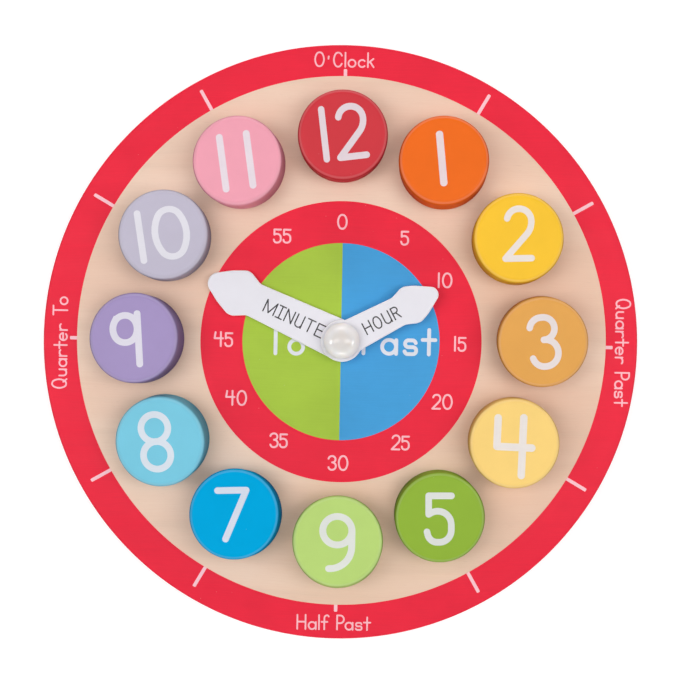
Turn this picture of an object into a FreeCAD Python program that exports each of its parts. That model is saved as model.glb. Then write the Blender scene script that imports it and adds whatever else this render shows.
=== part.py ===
import FreeCAD, Part
import Sketcher
import math
import os

# A teaching clock that lies on its back. The origin is the middle of the back face, +Z points
# out of the dial and +Y towards twelve. Lengths are millimetres, angles are degrees.

SIZES = [
    ("board_diameter", 290.0, "round board that carries everything"),
    ("board_thickness", 10.0, "thickness of the board"),
    ("rim_round", 1.2, "rounding of both board edges"),
    ("peg_diameter", 8.0, "dowel that carries a number block"),
    ("peg_seat_depth", 6.0, "how deep a dowel is glued into the board"),
    ("peg_stand", 8.5, "how far a dowel stands out of the face"),
    ("peg_point", 0.8, "chamfer on the free end of a dowel"),
    ("block_diameter", 43.0, "number block"),
    ("block_height", 16.0, "number block"),
    ("block_gap", 7.5, "between the rims of neighbouring blocks"),
    ("peg_circle_rise", 1.0, "the dowels' circle sits off the board's middle, towards twelve"),
    ("peg_circle_turn", 0.45, "the dowels' circle is turned anticlockwise"),
    ("block_edge_round", 2.5, "rounding around the printed face"),
    ("block_foot_round", 0.7, "rounding around the underside"),
    ("bore_clearance", 1.3, "radial play of a block on its dowel"),
    ("bore_head_room", 2.5, "room over the end of the dowel in a block's blind bore"),
    ("seat_gap", 0.3, "between the face and the lowest point of a block"),
    ("pivot_x", 0.7, "the pivot sits off the board's middle, towards three"),
    ("pivot_y", 0.4, "the pivot sits off the board's middle, towards twelve"),
    ("shank_diameter", 5.0, "pivot screw"),
    ("shank_tail", 0.6, "how far the screw stands out of its nut"),
    ("shank_point", 0.5, "chamfer on the end of the screw"),
    ("head_diameter", 9.5, "button head of the pivot screw"),
    ("head_height", 2.8, "button head of the pivot screw"),
    ("head_crown", 1.8, "rounding of the button head"),
    ("head_recess", 0.4, "how far the head lies below the back face"),
    ("socket_across", 3.0, "hexagon socket, across its flats"),
    ("socket_depth", 1.6, "hexagon socket"),
    ("shank_clearance", 0.25, "radial play of the screw in the board and the washers"),
    ("running_clearance", 0.1, "radial play of a hand on the screw"),
    ("running_gap", 0.2, "end play above and below each hand"),
    ("washer_diameter", 14.0, "washers between the hands"),
    ("washer_thickness", 0.8, "washers between the hands"),
    ("rear_washer_diameter", 12.0, "washer under the screw head"),
    ("rear_washer_thickness", 1.0, "washer under the screw head"),
    ("counterbore_clearance", 1.0, "radial room around the rear washer"),
    ("nut_across", 8.0, "lock nut, across its flats"),
    ("nut_hex_height", 3.6, "hexagon of the lock nut"),
    ("nut_collar_diameter", 7.4, "collar that holds the locking ring"),
    ("nut_height", 5.0, "lock nut with its collar"),
    ("cap_diameter", 17.0, "domed cap over the nut"),
    ("cap_dome_extra", 1.5, "how much larger the dome's radius is than the cap's own"),
    ("cap_wall", 1.1, "wall of the dome over the edge of the cavity"),
    ("cap_play", 1.0, "radial room between the nut and the cap"),
    ("cap_head_room", 0.3, "room between the screw and the roof of the cap"),
    ("cap_lip_round", 0.5, "rounding around the foot of the cap"),
    ("hand_thickness", 3.0, "both hands"),
    ("hand_edge_round", 0.6, "rounding of both faces of a hand"),
    ("hand_boss_diameter", 20.2, "round end of both hands"),
    ("boss_round", 3.0, "inside corners where an arm leaves its boss"),
    ("waist_round", 5.0, "inside corners where an arm flares into its head"),
    ("shoulder_round", 5.5, "widest corners of a hand's head"),
    ("cheek_round", 20.0, "gentle corners between shoulder and nose"),
    ("nose_fill", 0.94, "share of the nose that its round corners take"),
    ("minute_tip_clearance", 4.8, "between the tip and the number blocks"),
    ("minute_root_inset", 0.2, "how far the arm's edges lie inside the boss at the pivot"),
    ("minute_waist_back", 23.9, "tip to waist"),
    ("minute_waist_half", 8.3, "half width at the waist"),
    ("minute_shoulder_back", 16.4, "tip to shoulders"),
    ("minute_shoulder_half", 12.2, "half width at the shoulders, before rounding"),
    ("minute_cheek_back", 8.4, "tip to cheeks"),
    ("minute_cheek_half", 8.4, "half width at the cheeks"),
    ("minute_nose_half", 2.9, "half width of the blunt tip"),
    ("minute_dial_angle", 294.0, "where the hand points, clockwise from twelve"),
    ("hour_shortfall", 19.2, "how much shorter the hour hand is than the minute hand"),
    ("hour_root_inset", 1.75, "how far the arm's edges lie inside the boss at the pivot"),
    ("hour_waist_back", 21.2, "tip to waist"),
    ("hour_waist_half", 7.2, "half width at the waist"),
    ("hour_shoulder_back", 14.3, "tip to shoulders"),
    ("hour_shoulder_half", 9.8, "half width at the shoulders, before rounding"),
    ("hour_cheek_back", 8.9, "tip to cheeks"),
    ("hour_cheek_half", 7.65, "half width at the cheeks"),
    ("hour_nose_half", 2.1, "half width of the blunt tip"),
    ("hour_dial_angle", 61.5, "where the hand points, clockwise from twelve"),
]

# How each block sits on its loose dowel: lean, the dial angle that it leans towards, and how far
# the middle of its underside slips along X and Y.
BLOCK_SEATS = {
    1: (3.9, 309.0, 0.39, 0.64),
    2: (2.2, 300.0, 0.35, 0.18),
    3: (6.6, 235.0, -0.12, 0.68),
    4: (2.8, 262.0, -0.47, 0.26),
    5: (0.4, 300.0, -0.32, 0.16),
    6: (13.0, 0.0, -0.25, -0.91),
    7: (7.2, 339.0, -0.08, -0.48),
    8: (4.1, 220.0, 0.02, 0.06),
    9: (4.8, 288.0, 0.53, -0.63),
    10: (0.7, 60.0, -0.49, 0.24),
    11: (4.1, 264.0, -0.12, 0.08),
    12: (2.6, 171.0, 0.13, 0.49),
}

# Heights above the back face, and other lengths that more than one piece uses.
FACE = "Sizes.board_thickness"
LEVEL_STEP = "(Sizes.washer_thickness + 2 * Sizes.running_gap + Sizes.hand_thickness)"
LOWER_WASHER_FOOT = FACE
MINUTE_FOOT = f"{FACE} + Sizes.washer_thickness + Sizes.running_gap"
MIDDLE_WASHER_FOOT = f"{FACE} + {LEVEL_STEP}"
HOUR_FOOT = f"{MINUTE_FOOT} + {LEVEL_STEP}"
UPPER_WASHER_FOOT = f"{FACE} + 2 * {LEVEL_STEP}"
NUT_FOOT = f"{UPPER_WASHER_FOOT} + Sizes.washer_thickness"
SHANK_END = f"{NUT_FOOT} + Sizes.nut_height + Sizes.shank_tail"
HEAD_TOP = "Sizes.head_recess + Sizes.head_height"
COUNTERBORE_FLOOR = f"{HEAD_TOP} + Sizes.rear_washer_thickness"
NUT_CORNER = "Sizes.nut_across / 2 / cos(30)"
SHANK_HOLE = "Sizes.shank_diameter + 2 * Sizes.shank_clearance"
HAND_HOLE = "Sizes.shank_diameter + 2 * Sizes.running_clearance"
CAP_CAVITY = f"({NUT_CORNER} + Sizes.cap_play)"
CAP_CAVITY_DEPTH = "(Sizes.nut_height + Sizes.shank_tail + Sizes.cap_head_room)"
# Neighbouring pegs stand a block and a gap apart, and the minute hand ends short of the blocks.
HALF_STEP = 180 / len(BLOCK_SEATS)
PEG_CIRCLE = f"(Sizes.block_diameter + Sizes.block_gap) / (2 * sin({HALF_STEP}))"
MINUTE_LENGTH = f"({PEG_CIRCLE} - Sizes.block_diameter / 2 - Sizes.minute_tip_clearance)"
HOUR_LENGTH = f"({MINUTE_LENGTH} - Sizes.hour_shortfall)"
PIVOT = ("Sizes.pivot_x", "Sizes.pivot_y")

NEAR = 0.01

doc = FreeCAD.newDocument("teaching_clock")
sheet = doc.addObject("Spreadsheet::Sheet", "Sizes")


def fill_sheet(rows):
    for row, (alias, size, note) in enumerate(rows, start=1):
        sheet.set(f"A{row}", alias)
        sheet.set(f"B{row}", str(size))
        sheet.setAlias(f"B{row}", alias)
        sheet.set(f"C{row}", note)
    doc.recompute()


def value(expression):
    return float(sheet.evalExpression(expression))


def new_body(name):
    body = doc.addObject("PartDesign::Body", name)
    body.Label = name
    return body


def flat_sketch(body, name, plane="XY_Plane", lift=None):
    sketch = body.newObject("Sketcher::SketchObject", f"{body.Name}_{name}")
    planes = [origin for origin in body.Origin.OriginFeatures if origin.Role == plane]
    sketch.AttachmentSupport = [(planes[0], "")]
    sketch.MapMode = "FlatFace"
    if lift:
        sketch.setExpression("AttachmentOffset.Base.z", lift)
    return sketch


def bind(sketch, constraint, name, expression):
    index = sketch.addConstraint(constraint)
    sketch.renameConstraint(index, name)
    sketch.setExpression(f"Constraints.{name}", expression)


def place_point(sketch, geometry, point, x, y):
    # A coordinate of "0" puts the point on that axis of the sketch.
    for kind, text, axis in (("DistanceX", x, -2), ("DistanceY", y, -1)):
        if text == "0":
            sketch.addConstraint(Sketcher.Constraint("PointOnObject", geometry, point, axis))
        else:
            distance = Sketcher.Constraint(kind, -1, 1, geometry, point, value(text))
            bind(sketch, distance, f"{kind}_{geometry}_{point}", text)


def circle_sketch(body, name, diameter, x="0", y="0"):
    sketch = flat_sketch(body, name)
    middle = FreeCAD.Vector(value(x), value(y), 0)
    circle = Part.Circle(middle, FreeCAD.Vector(0, 0, 1), value(diameter) / 2)
    sketch.addGeometry(circle, False)
    bind(sketch, Sketcher.Constraint("Diameter", 0, value(diameter)), "diameter", diameter)
    place_point(sketch, 0, 3, x, y)
    return sketch


def polygon_sketch(body, name, corners, plane="XY_Plane", lift=None):
    sketch = flat_sketch(body, name, plane, lift)
    spots = [FreeCAD.Vector(value(x), value(y), 0) for x, y in corners]
    for index, spot in enumerate(spots):
        sketch.addGeometry(Part.LineSegment(spot, spots[(index + 1) % len(spots)]), False)
    for index, (x, y) in enumerate(corners):
        before = (index - 1) % len(corners)
        sketch.addConstraint(Sketcher.Constraint("Coincident", before, 2, index, 1))
        place_point(sketch, index, 1, x, y)
    return sketch


def hexagon_corners(radius):
    corners = []
    for step in range(6):
        x = f"{radius} * cos({60 * step})"
        y = "0" if step % 3 == 0 else f"{radius} * sin({60 * step})"
        corners.append((x, y))
    return corners


def add_feature(body, kind, name, profile, length, reverse=False):
    feature = body.newObject(f"PartDesign::{kind}", f"{body.Name}_{name}")
    feature.Profile = profile
    feature.setExpression("Length", length)
    feature.Reversed = reverse
    profile.Visibility = False
    body.Tip = feature
    doc.recompute()
    return feature


def pad(body, name, profile, length):
    return add_feature(body, "Pad", name, profile, length)


def pocket(body, name, profile, length, upwards=False):
    before = body.Shape.Volume
    feature = add_feature(body, "Pocket", name, profile, length, upwards)
    if body.Shape.Volume > before - NEAR:
        raise RuntimeError(f"{feature.Name} cuts nothing")
    return feature


def revolve(body, name, profile):
    feature = body.newObject("PartDesign::Revolution", f"{body.Name}_{name}")
    feature.Profile = profile
    feature.ReferenceAxis = (profile, ["V_Axis"])
    feature.Angle = 360
    body.Tip = feature
    doc.recompute()
    return feature


def dress(body, kind, name, size_name, size, wanted):
    # Rounds or chamfers the edges of the body that wanted(edge) picks.
    edges = []
    for index, edge in enumerate(body.Shape.Edges, start=1):
        if not edge.Degenerated and wanted(edge):
            edges.append(f"Edge{index}")
    if not edges:
        raise RuntimeError(f"{body.Name} has no edge for {name}")
    base = body.Tip
    feature = body.newObject(f"PartDesign::{kind}", f"{body.Name}_{name}")
    feature.Base = (base, edges)
    feature.setExpression(size_name, size)
    body.Tip = feature
    doc.recompute()
    return feature


def fillet(body, name, radius, wanted):
    return dress(body, "Fillet", name, "Radius", radius, wanted)


def chamfer(body, name, size, wanted):
    return dress(body, "Chamfer", name, "Size", size, wanted)


def ring_at(radius, height):
    # Picks full circles around Z with this radius at this height.
    def wanted(edge):
        curve = edge.Curve
        if not isinstance(curve, Part.Circle) or not edge.isClosed():
            return False
        return abs(curve.Radius - value(radius)) < NEAR and abs(curve.Center.z - value(height)) < NEAR
    return wanted


def upright_at(corners):
    # Picks straight upright edges over these places.
    spots = [(value(x), value(y)) for x, y in corners]

    def wanted(edge):
        box, middle = edge.BoundBox, edge.CenterOfMass
        if box.XLength > NEAR or box.YLength > NEAR:
            return False
        return any(math.hypot(middle.x - x, middle.y - y) < NEAR for x, y in spots)
    return wanted


def upright_on_circle(radius):
    # Picks straight upright edges that stand on this circle, away from its seam.
    def wanted(edge):
        box, middle = edge.BoundBox, edge.CenterOfMass
        if box.XLength > NEAR or box.YLength > NEAR or abs(middle.y) < NEAR:
            return False
        return abs(math.hypot(middle.x, middle.y) - value(radius)) < NEAR
    return wanted


def outline_at(height):
    # Picks every edge that lies flat at this height.
    def wanted(edge):
        box = edge.BoundBox
        return abs(box.ZMin - value(height)) < NEAR and box.ZLength < NEAR
    return wanted


def put(body, x="0", y="0", z="0", axis=("0", "0", "1"), angle="0"):
    vector = f"create(<<vector>>; {x}; {y}; {z})"
    turn = f"create(<<rotation>>; create(<<vector>>; {axis[0]}; {axis[1]}; {axis[2]}); {angle})"
    body.setExpression("Placement", f"create(<<placement>>; {vector}; {turn})")


def make_board():
    body = new_body("clock_board")
    pad(body, "slab", circle_sketch(body, "rim", "Sizes.board_diameter"), "Sizes.board_thickness")
    fillet(body, "face_edge", "Sizes.rim_round", ring_at("Sizes.board_diameter / 2", FACE))
    fillet(body, "back_edge", "Sizes.rim_round", ring_at("Sizes.board_diameter / 2", "0"))
    screw_hole = circle_sketch(body, "screw_hole", SHANK_HOLE, *PIVOT)
    pocket(body, "screw_way", screw_hole, "Sizes.board_thickness", upwards=True)
    washer_room = "Sizes.rear_washer_diameter + 2 * Sizes.counterbore_clearance"
    head_hole = circle_sketch(body, "head_hole", washer_room, *PIVOT)
    pocket(body, "counterbore", head_hole, COUNTERBORE_FLOOR, upwards=True)
    seat = circle_sketch(body, "peg_seat", "Sizes.peg_diameter", y=PEG_CIRCLE)
    turn = "create(<<rotation>>; create(<<vector>>; 0; 0; 1); Sizes.peg_circle_turn)"
    offset = f"create(<<vector>>; 0; Sizes.peg_circle_rise; {FACE})"
    seat.setExpression("AttachmentOffset", f"create(<<placement>>; {offset}; {turn})")
    doc.recompute()
    socket = pocket(body, "peg_socket", seat, "Sizes.peg_seat_depth")
    before = body.Shape.Volume
    sockets = body.newObject("PartDesign::PolarPattern", "clock_board_peg_sockets")
    sockets.Originals = [socket]
    sockets.Axis = (seat, ["N_Axis"])
    sockets.Angle = 360
    sockets.Occurrences = len(BLOCK_SEATS)
    body.Tip = sockets
    doc.recompute()
    if body.Shape.Volume > before - NEAR:
        raise RuntimeError("the peg sockets are not repeated")
    return body


def dial_place(number):
    dial_angle = f"{2 * HALF_STEP * number} - Sizes.peg_circle_turn"
    x = f"{PEG_CIRCLE} * sin({dial_angle})"
    y = f"Sizes.peg_circle_rise + {PEG_CIRCLE} * cos({dial_angle})"
    return x, y


def make_peg(number):
    body = new_body(f"block_peg_{number}")
    length = "Sizes.peg_seat_depth + Sizes.peg_stand"
    pad(body, "dowel", circle_sketch(body, "section", "Sizes.peg_diameter"), length)
    chamfer(body, "point", "Sizes.peg_point", ring_at("Sizes.peg_diameter / 2", length))
    x, y = dial_place(number)
    turn = f"Sizes.peg_circle_turn - {2 * HALF_STEP * number}"
    put(body, x, y, f"{FACE} - Sizes.peg_seat_depth", angle=turn)
    return body


def make_block(number):
    body = new_body(f"number_block_{number}")
    pad(body, "disc", circle_sketch(body, "rim", "Sizes.block_diameter"), "Sizes.block_height")
    bore = circle_sketch(body, "bore", "Sizes.peg_diameter + 2 * Sizes.bore_clearance")
    pocket(body, "peg_bore", bore, "Sizes.peg_stand + Sizes.bore_head_room", upwards=True)
    radius = "Sizes.block_diameter / 2"
    fillet(body, "face_edge", "Sizes.block_edge_round", ring_at(radius, "Sizes.block_height"))
    fillet(body, "foot_edge", "Sizes.block_foot_round", ring_at(radius, "0"))
    lean, towards = f"Sizes.lean_{number}", f"Sizes.lean_way_{number}"
    x, y = dial_place(number)
    # The lowest point of the leaning underside stays seat_gap above the face.
    z = f"{FACE} + Sizes.seat_gap + {radius} * sin({lean})"
    tilt = (f"-cos({towards})", f"sin({towards})", "0")
    x, y = f"{x} + Sizes.slip_x_{number}", f"{y} + Sizes.slip_y_{number}"
    put(body, x, y, z, axis=tilt, angle=lean)
    return body


def make_washer(name, foot, diameter="Sizes.washer_diameter", thickness="Sizes.washer_thickness"):
    body = new_body(name)
    pad(body, "disc", circle_sketch(body, "rim", diameter), thickness)
    pocket(body, "hole", circle_sketch(body, "bore", SHANK_HOLE), thickness, upwards=True)
    put(body, *PIVOT, foot)
    return body


def make_hand(hand, length, foot):
    size = f"Sizes.{hand}_"
    body = new_body(f"{hand}_hand")
    thickness = "Sizes.hand_thickness"
    root = ("0", f"(Sizes.hand_boss_diameter / 2 - {size}root_inset)")
    waist = (f"({length} - {size}waist_back)", f"{size}waist_half")
    shoulder = (f"({length} - {size}shoulder_back)", f"{size}shoulder_half")
    cheek = (f"({length} - {size}cheek_back)", f"{size}cheek_half")
    nose = (length, f"{size}nose_half")
    upper = [root, waist, shoulder, cheek, nose]
    lower = [(x, f"-{y}") for x, y in reversed(upper)]
    pad(body, "arm", polygon_sketch(body, "arm_outline", upper + lower), thickness)
    pad(body, "boss", circle_sketch(body, "boss_outline", "Sizes.hand_boss_diameter"), thickness)

    def both(corner):
        return upright_at([corner, (corner[0], f"-{corner[1]}")])

    # The nose corners turn through what is left of a right angle after the cheek's slope.
    slope = f"atan(({cheek[1]} - {nose[1]}) / ({nose[0]} - {cheek[0]}))"
    nose_round = f"Sizes.nose_fill * {nose[1]} / tan((90 deg - {slope}) / 2)"
    fillet(body, "boss_corners", "Sizes.boss_round", upright_on_circle("Sizes.hand_boss_diameter / 2"))
    fillet(body, "waist_corners", "Sizes.waist_round", both(waist))
    fillet(body, "shoulder_corners", "Sizes.shoulder_round", both(shoulder))
    fillet(body, "cheek_corners", "Sizes.cheek_round", both(cheek))
    fillet(body, "nose_corners", nose_round, both(nose))
    fillet(body, "face_edge", "Sizes.hand_edge_round", outline_at(thickness))
    fillet(body, "back_edge", "Sizes.hand_edge_round", outline_at("0"))
    pocket(body, "hole", circle_sketch(body, "bore", HAND_HOLE), thickness, upwards=True)
    put(body, *PIVOT, foot, angle=f"90 - {size}dial_angle")
    return body


def make_screw():
    body = new_body("pivot_screw")
    shank, head = "Sizes.shank_diameter / 2", "Sizes.head_diameter / 2"
    profile = [
        ("0", "Sizes.head_recess"),
        (head, "Sizes.head_recess"),
        (head, HEAD_TOP),
        (shank, HEAD_TOP),
        (shank, SHANK_END),
        ("0", SHANK_END),
    ]
    revolve(body, "turned", polygon_sketch(body, "half_section", profile, "XZ_Plane"))
    fillet(body, "crown", "Sizes.head_crown", ring_at(head, "Sizes.head_recess"))
    chamfer(body, "point", "Sizes.shank_point", ring_at(shank, SHANK_END))
    hexagon = hexagon_corners("Sizes.socket_across / 2 / cos(30)")
    socket = polygon_sketch(body, "socket", hexagon, lift="Sizes.head_recess")
    pocket(body, "hex_socket", socket, "Sizes.socket_depth", upwards=True)
    put(body, *PIVOT)
    return body


def make_nut():
    body = new_body("lock_nut")
    pad(body, "hexagon", polygon_sketch(body, "flats", hexagon_corners(NUT_CORNER)), "Sizes.nut_hex_height")
    pad(body, "collar", circle_sketch(body, "collar_rim", "Sizes.nut_collar_diameter"), "Sizes.nut_height")
    thread = circle_sketch(body, "thread", "Sizes.shank_diameter")
    pocket(body, "thread_way", thread, "Sizes.nut_height", upwards=True)
    put(body, *PIVOT, NUT_FOOT)
    return body


def make_cap():
    body = new_body("pivot_cap")
    radius = "(Sizes.cap_diameter / 2)"
    dome = f"({radius} + Sizes.cap_dome_extra)"
    # The dome clears the edge of the cavity by cap_wall, and the skirt ends where the dome meets it.
    dome_middle = f"({CAP_CAVITY_DEPTH} + Sizes.cap_wall - sqrt({dome} ^ 2 - {CAP_CAVITY} ^ 2))"
    skirt = f"({dome_middle} + sqrt({dome} ^ 2 - {radius} ^ 2))"
    sketch = flat_sketch(body, "half_section", "XZ_Plane")
    centre_height = value(dome_middle)
    top = FreeCAD.Vector(0, centre_height + value(dome), 0)
    roof = FreeCAD.Vector(0, value(CAP_CAVITY_DEPTH), 0)
    roof_edge = FreeCAD.Vector(value(CAP_CAVITY), value(CAP_CAVITY_DEPTH), 0)
    inner_foot = FreeCAD.Vector(value(CAP_CAVITY), 0, 0)
    outer_foot = FreeCAD.Vector(value(radius), 0, 0)
    brim = FreeCAD.Vector(value(radius), value(skirt), 0)
    spots = [top, roof, roof_edge, inner_foot, outer_foot, brim]
    for start, end in zip(spots, spots[1:]):
        sketch.addGeometry(Part.LineSegment(start, end), False)
    middle = FreeCAD.Vector(0, centre_height, 0)
    circle = Part.Circle(middle, FreeCAD.Vector(0, 0, 1), value(dome))
    start_angle = math.atan2(value(skirt) - centre_height, value(radius))
    sketch.addGeometry(Part.ArcOfCircle(circle, start_angle, math.pi / 2), False)
    for line in range(4):
        sketch.addConstraint(Sketcher.Constraint("Coincident", line, 2, line + 1, 1))
    sketch.addConstraint(Sketcher.Constraint("Coincident", 4, 2, 5, 1))
    sketch.addConstraint(Sketcher.Constraint("Coincident", 5, 2, 0, 1))
    sketch.addConstraint(Sketcher.Constraint("PointOnObject", 5, 3, -2))
    sketch.addConstraint(Sketcher.Constraint("PointOnObject", 0, 1, -2))
    place_point(sketch, 1, 1, "0", CAP_CAVITY_DEPTH)
    place_point(sketch, 2, 1, CAP_CAVITY, CAP_CAVITY_DEPTH)
    place_point(sketch, 3, 1, CAP_CAVITY, "0")
    place_point(sketch, 4, 1, radius, "0")
    place_point(sketch, 4, 2, radius, skirt)
    bind(sketch, Sketcher.Constraint("Radius", 5, value(dome)), "dome", dome)
    revolve(body, "turned", sketch)
    fillet(body, "lip", "Sizes.cap_lip_round", ring_at(radius, "0"))
    put(body, *PIVOT, NUT_FOOT)
    return body


def seat_rows():
    rows = []
    for number, (lean, towards, slip_x, slip_y) in BLOCK_SEATS.items():
        rows.append((f"lean_{number}", lean, "how far this block leans"))
        rows.append((f"lean_way_{number}", towards, "dial angle that it leans towards"))
        rows.append((f"slip_x_{number}", slip_x, "how far its underside slips towards three"))
        rows.append((f"slip_y_{number}", slip_y, "how far its underside slips towards twelve"))
    return rows


def make_clock():
    pieces = [make_board()]
    pieces += [make_peg(number) for number in BLOCK_SEATS]
    pieces += [make_block(number) for number in BLOCK_SEATS]
    pieces.append(make_washer("lower_washer", LOWER_WASHER_FOOT))
    pieces.append(make_hand("minute", MINUTE_LENGTH, MINUTE_FOOT))
    pieces.append(make_washer("middle_washer", MIDDLE_WASHER_FOOT))
    pieces.append(make_hand("hour", HOUR_LENGTH, HOUR_FOOT))
    pieces.append(make_washer("upper_washer", UPPER_WASHER_FOOT))
    rear_size = ("Sizes.rear_washer_diameter", "Sizes.rear_washer_thickness")
    pieces.append(make_washer("rear_washer", HEAD_TOP, *rear_size))
    pieces.append(make_screw())
    pieces.append(make_nut())
    pieces.append(make_cap())
    doc.recompute()
    return pieces


def check(pieces):
    for item in doc.Objects:
        if "Invalid" in item.State or "Error" in item.State:
            raise RuntimeError(f"{item.Name} failed: {item.State}")
    for piece in pieces:
        if piece.Shape.isNull() or not piece.Shape.isValid() or len(piece.Shape.Solids) != 1:
            raise RuntimeError(f"{piece.Label} is not one sound solid")


def export(pieces):
    os.makedirs("parts", exist_ok=True)
    for piece in pieces:
        piece.Shape.exportStep(f"parts/{piece.Label}.step")
        print(f"{piece.Label}: {piece.Shape.Volume:.1f} mm3")


fill_sheet(SIZES + seat_rows())
clock = make_clock()
check(clock)
export(clock)
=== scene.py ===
import math

import bmesh
import bpy
from mathutils import Matrix, Vector


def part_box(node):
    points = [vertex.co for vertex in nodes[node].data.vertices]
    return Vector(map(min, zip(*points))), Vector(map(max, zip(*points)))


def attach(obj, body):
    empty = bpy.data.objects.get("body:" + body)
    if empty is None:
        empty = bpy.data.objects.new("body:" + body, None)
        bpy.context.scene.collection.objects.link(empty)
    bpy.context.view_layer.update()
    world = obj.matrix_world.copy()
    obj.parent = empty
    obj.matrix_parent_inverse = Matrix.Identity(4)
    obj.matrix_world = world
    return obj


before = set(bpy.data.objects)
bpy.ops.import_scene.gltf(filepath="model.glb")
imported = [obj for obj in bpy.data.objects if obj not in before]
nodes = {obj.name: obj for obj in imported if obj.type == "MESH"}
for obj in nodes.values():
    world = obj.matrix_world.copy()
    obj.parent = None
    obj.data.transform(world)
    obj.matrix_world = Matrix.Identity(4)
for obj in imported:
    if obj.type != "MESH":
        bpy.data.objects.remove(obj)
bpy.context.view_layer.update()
scene = bpy.context.scene
print("frame loaded:", len(nodes), "nodes")

# Sizes are millimetres and angles are degrees, until a piece is finished in metres.
# The sizes in finishes are metres.
metre = 0.001
upAxis = Vector((0, 0, 1))
numbers = range(1, 13)
hourStep = 30             # from one number of the dial to the next
minuteStep = 6


# Small helpers for shader trees

def screenColour(red, green, blue):
    # an 8-bit screen colour as the linear colour that a shader wants
    def linear(level):
        level /= 255
        return level / 12.92 if level <= 0.04045 else ((level + 0.055) / 1.055) ** 2.4
    return (linear(red), linear(green), linear(blue), 1)


def feed(tree, node, inputs):
    # links what another node gives, and sets what is a plain value
    for name, wanted in inputs.items():
        if isinstance(wanted, bpy.types.NodeSocket):
            tree.links.new(wanted, node.inputs[name])
        else:
            node.inputs[name].default_value = wanted


def addNode(tree, kind, inputs=None, **settings):
    node = tree.nodes.new("ShaderNode" + kind)
    for name, setting in settings.items():
        setattr(node, name, setting)
    feed(tree, node, inputs or {})
    return node


def calculate(tree, operation, first, second=0.0, clamp=False):
    inputs = {0: first, 1: second}
    return addNode(tree, "Math", inputs, operation=operation, use_clamp=clamp).outputs[0]


def remap(tree, source, low, high, toLow=0.0, toHigh=1.0, smooth=False):
    inputs = {"Value": source, "From Min": low, "From Max": high,
              "To Min": toLow, "To Max": toHigh}
    kind = "SMOOTHSTEP" if smooth else "LINEAR"
    return addNode(tree, "MapRange", inputs, interpolation_type=kind).outputs["Result"]


def mixColours(tree, factor, first, second, blend="MIX"):
    inputs = {0: factor, 6: first, 7: second}       # a Mix node's sockets for colours
    return addNode(tree, "Mix", inputs, data_type="RGBA", blend_type=blend).outputs[2]


def cover(tree, colour, mask, share, coat):
    # lays a coat over the colour where the mask is, at a share of its full strength
    return mixColours(tree, calculate(tree, "MULTIPLY", mask, share), colour, coat)


def shaded(tree, tint, tone):
    # the tint, a little darker or lighter by a grey tone
    grey = addNode(tree, "CombineColor", {0: tone, 1: tone, 2: tone}).outputs[0]
    return mixColours(tree, 1.0, tint, grey, "MULTIPLY")


def noise(tree, vector, scale, detail, roughness):
    inputs = {"Vector": vector, "Scale": scale, "Detail": detail, "Roughness": roughness}
    return addNode(tree, "TexNoise", inputs).outputs["Fac"]


def stretched(tree, vector, scale, shift=(0, 0, 0), turn=(0, 0, 0)):
    inputs = {"Vector": vector, "Location": shift, "Rotation": turn, "Scale": scale}
    return addNode(tree, "Mapping", inputs).outputs[0]


def newGroup(name, inputs, outputs):
    tree = bpy.data.node_groups.new(name, "ShaderNodeTree")
    for label, kind in inputs:
        tree.interface.new_socket(name=label, in_out="INPUT", socket_type="NodeSocket" + kind)
    for label in outputs:
        tree.interface.new_socket(name=label, in_out="OUTPUT", socket_type="NodeSocketFloat")
    entry = tree.nodes.new("NodeGroupInput")
    leave = tree.nodes.new("NodeGroupOutput")
    return tree, entry.outputs, leave.inputs


def useGroup(tree, group, inputs):
    node = tree.nodes.new("ShaderNodeGroup")
    node.node_tree = group
    feed(tree, node, inputs)
    return node.outputs


def newMaterial(name):
    material = bpy.data.materials.new(name)
    material.use_nodes = True
    tree = material.node_tree
    shader = tree.nodes["Principled BSDF"]
    place = addNode(tree, "TexCoord").outputs["Object"]
    return material, tree, shader, place


def bump(tree, height, distance, strength):
    inputs = {"Height": height, "Distance": distance, "Strength": strength}
    return addNode(tree, "Bump", inputs).outputs[0]


def facing(tree, axis):
    # how far the surface faces along an axis, either way: 1 is straight along it
    normal = addNode(tree, "NewGeometry").outputs["Normal"]
    return calculate(tree, "ABSOLUTE", addNode(tree, "SeparateXYZ", {0: normal}).outputs[axis])


def tilted(tree, flat, steep):
    # 0 where the surface lies flat, 1 where it stands steeply: both are heights of its normal.
    return remap(tree, facing(tree, "Z"), flat, steep, smooth=True)


def patchy(tree, mask, span, roughness, reach):
    # the roughness, a little lower at one end of the mask's span and higher at the other
    return remap(tree, mask, *span, roughness - reach[0], roughness + reach[1])


# Effects that several finishes share

grainLook = {
    # how often it changes in a metre, along the grain and across it, its detail and roughness
    "sway": ((4, 14, 14), 1.0, 0.5),
    "bands": ((2.2, 26, 26), 2.0, 0.45),
    "streaks": ((5, 120, 120), 3.0, 0.5),
    "fibres": ((60, 1900, 1900), 3.0, 0.6),
    "pores": ((170, 3200, 3200), 1.0, 0.5),
    "poreShift": (7, 3, 1),       # keeps the pores from following the fibres
    "swayReach": 0.02,            # how far the grain wanders sideways
    "bandSpan": (0.34, 0.66),     # the part of each pattern that shows
    "streakSpan": (0.3, 0.7),
    "poreSpan": (0.67, 0.8),
}


def grainNoise(tree, vector, pattern, shift=(0, 0, 0)):
    scale, detail, roughness = grainLook[pattern]
    return noise(tree, stretched(tree, vector, scale, shift), 1.0, detail, roughness)


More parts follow.
